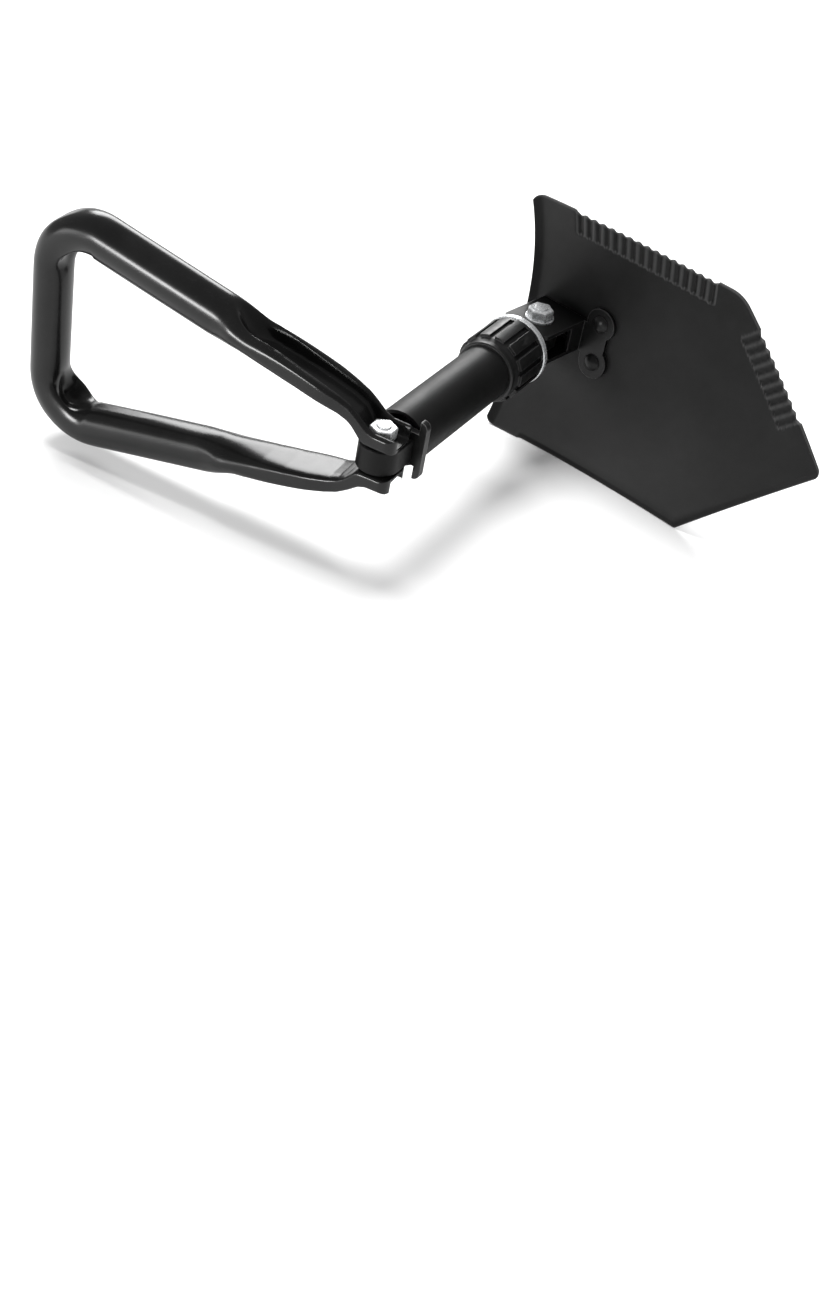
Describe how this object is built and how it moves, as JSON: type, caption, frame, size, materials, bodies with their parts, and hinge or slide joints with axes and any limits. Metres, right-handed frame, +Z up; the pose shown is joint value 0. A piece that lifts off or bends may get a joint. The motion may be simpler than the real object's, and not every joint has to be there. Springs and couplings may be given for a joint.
{
  "type": "folding camp shovel",
  "caption": "Tri-fold camp shovel: pressed, toothed blade and tubular loop handle hinged on a short shaft, locked by a ribbed nut; blade and handle set square to the shaft.",
  "frame": {"origin": "middle of the footprint, on the ground that the shovel lies on", "axes": "+Z up, along both hinge axes, nuts on top; +X along the shaft from the handle hinge to the blade hinge; +Y towards the handle's grip"},
  "size_m": [0.231, 0.407, 0.156],
  "materials": {
    "blade_paint": "satin black powder coat",
    "handle_paint": "gloss black paint",
    "tube_paint": "satin black paint",
    "nut_plastic": "moulded black plastic",
    "zinc": "bright zinc plate",
    "core_steel": "dark phosphated steel"
  },
  "bodies": {
    "core": {"rear_knuckle": "tube_paint", "core_rod": "core_steel", "front_tongue": "tube_paint", "rear_roll_pin": "core_steel", "front_roll_pin": "core_steel"},
    "outer_tube": {"shaft_tube": "tube_paint", "end_flange": "tube_paint", "guide_bush": "nut_plastic"},
    "thrust_ring": {"lock_ring": "zinc"},
    "ribbed_nut": {"lock_nut": "nut_plastic", "nut_insert": "core_steel"},
    "blade_head": {"blade": "blade_paint", "blade_bracket": "blade_paint", "blade_rivets": "blade_paint", "blade_pivot_bolt": "zinc", "blade_pivot_nut": "zinc", "blade_pivot_washer": "zinc"},
    "handle": {"handle_loop": "handle_paint", "handle_pivot_bolt": "zinc", "handle_pivot_nut": "zinc"}
  },
  "joints": [
    {"name": "blade_fold", "type": "hinge", "parent": "core", "child": "blade_head", "pos_m": [0.08523, -0.01465, 0.078], "axis": [0, 0, 1], "range_deg": [-68, 101]},
    {"name": "handle_fold", "type": "hinge", "parent": "core", "child": "handle", "pos_m": [-0.08877, -0.01465, 0.078], "axis": [0, 0, 1], "range_deg": [-77, 86]},
    {"name": "ring_slide", "type": "slide", "parent": "core", "child": "thrust_ring", "axis": [1, 0, 0], "range_m": [0, 0.0036]},
    {"name": "tube_slide", "type": "slide", "parent": "core", "child": "outer_tube", "axis": [1, 0, 0], "range_m": [-0.0012, 0]},
    {"name": "nut_turn", "type": "hinge", "parent": "thrust_ring", "child": "ribbed_nut", "pos_m": [0.03923, -0.01465, 0.078], "axis": [1, 0, 0], "range_deg": [0, 576]}
  ],
  "couplings": [
    {"joint": "nut_turn", "follows": "ring_slide", "rad_per_m": 2792.5},
    {"joint": "tube_slide", "follows": "ring_slide", "ratio": -0.33333}
  ]
}
